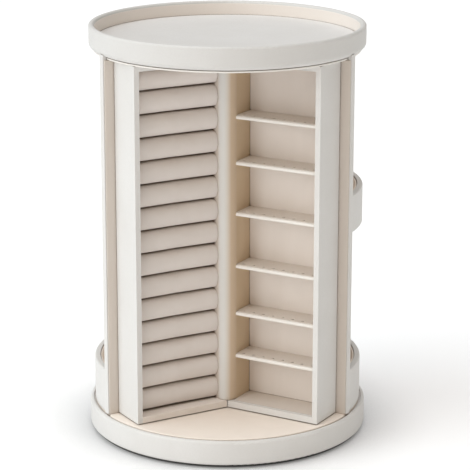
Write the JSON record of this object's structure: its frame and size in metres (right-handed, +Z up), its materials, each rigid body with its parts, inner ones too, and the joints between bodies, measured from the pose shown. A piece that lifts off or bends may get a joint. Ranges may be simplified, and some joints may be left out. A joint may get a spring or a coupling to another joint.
{
  "type": "rotating jewelry organizer",
  "caption": "Round leather-covered jewelry carousel on a turntable, with a top tray, ring rolls, earring shelves, necklace hooks and pull-out curved trays.",
  "frame": {"origin": "on the table under the turning axis, at the bottom of the rubber pads", "axes": "+Z up along the turning axis, -Y towards the front sector with the rings and earrings"},
  "size_m": [0.21, 0.21, 0.3092],
  "materials": {
    "cream_leather": "fine-grained cream leatherette",
    "beige_velvet": "short-pile beige velvet",
    "steel": "zinc-plated",
    "dark_plastic": "fine matt",
    "nylon": "smooth nylon",
    "rubber": "matt",
    "brass": "polished gold tone"
  },
  "bodies": {
    "foot": {"foot_plate": "dark_plastic", "foot_hub": "dark_plastic", "foot_pads": "rubber", "bearing_lower_race": "steel", "lower_race_screws": "steel", "pivot_pin": "steel", "pivot_clip": "steel"},
    "ball_ring": {"ball_cage": "dark_plastic", "bearing_balls": "steel"},
    "left_drawer": {"left_drawer_box": "cream_leather", "left_drawer_liner": "beige_velvet"},
    "right_drawer": {"right_drawer_box": "cream_leather", "right_drawer_liner": "beige_velvet"},
    "middle_drawer": {"middle_drawer_box": "cream_leather", "middle_drawer_liner": "beige_velvet"},
    "carousel": {"base_disc": "cream_leather", "bearing_upper_race": "steel", "corner_post": "beige_velvet", "drawer_runners": "nylon", "earring_box_back": "beige_velvet", "earring_box_shell": "cream_leather", "earring_shelf_1": "cream_leather", "earring_shelf_2": "cream_leather", "earring_shelf_3": "cream_leather", "earring_shelf_4": "cream_leather", "earring_shelf_5": "cream_leather", "earring_shelf_6": "cream_leather", "earring_shelf_linings": "beige_velvet", "floor_lining": "beige_velvet", "front_wall_linings": "beige_velvet", "left_wall": "cream_leather", "middle_shelf": "cream_leather", "necklace_hooks": "brass", "necklace_rail": "cream_leather", "panel_screws": "steel", "pivot_bush": "nylon", "rear_wall": "cream_leather", "rear_wall_linings": "beige_velvet", "right_wall": "cream_leather", "ring_box_back": "beige_velvet", "ring_box_shell": "cream_leather", "ring_roll_01": "beige_velvet", "ring_roll_02": "beige_velvet", "ring_roll_03": "beige_velvet", "ring_roll_04": "beige_velvet", "ring_roll_05": "beige_velvet", "ring_roll_06": "beige_velvet", "ring_roll_07": "beige_velvet", "ring_roll_08": "beige_velvet", "ring_roll_09": "beige_velvet", "ring_roll_10": "beige_velvet", "ring_roll_11": "beige_velvet", "ring_roll_12": "beige_velvet", "ring_roll_13": "beige_velvet", "ring_roll_14": "beige_velvet", "ring_roll_15": "beige_velvet", "top_board": "cream_leather", "tray_floor": "cream_leather", "tray_rim": "cream_leather", "upper_race_screws": "steel"}
  },
  "joints": [
    {"name": "carousel_spin", "type": "hinge", "parent": "foot", "child": "carousel", "pos_m": [0, 0, 0.0083], "axis": [0, 0, 1], "continuous": true},
    {"name": "ball_ring_roll", "type": "hinge", "parent": "foot", "child": "ball_ring", "pos_m": [0, 0, 0.0083], "axis": [0, 0, 1], "continuous": true},
    {"name": "left_drawer_slide", "type": "slide", "parent": "carousel", "child": "left_drawer", "axis": [-0.866, 0.5, 0], "range_m": [0, 0.055]},
    {"name": "right_drawer_slide", "type": "slide", "parent": "carousel", "child": "right_drawer", "axis": [0.866, 0.5, 0], "range_m": [0, 0.055]},
    {"name": "middle_drawer_slide", "type": "slide", "parent": "carousel", "child": "middle_drawer", "axis": [0.866, 0.5, 0], "range_m": [0, 0.055]}
  ],
  "couplings": [
    {"joint": "ball_ring_roll", "follows": "carousel_spin", "ratio": 0.5}
  ]
}
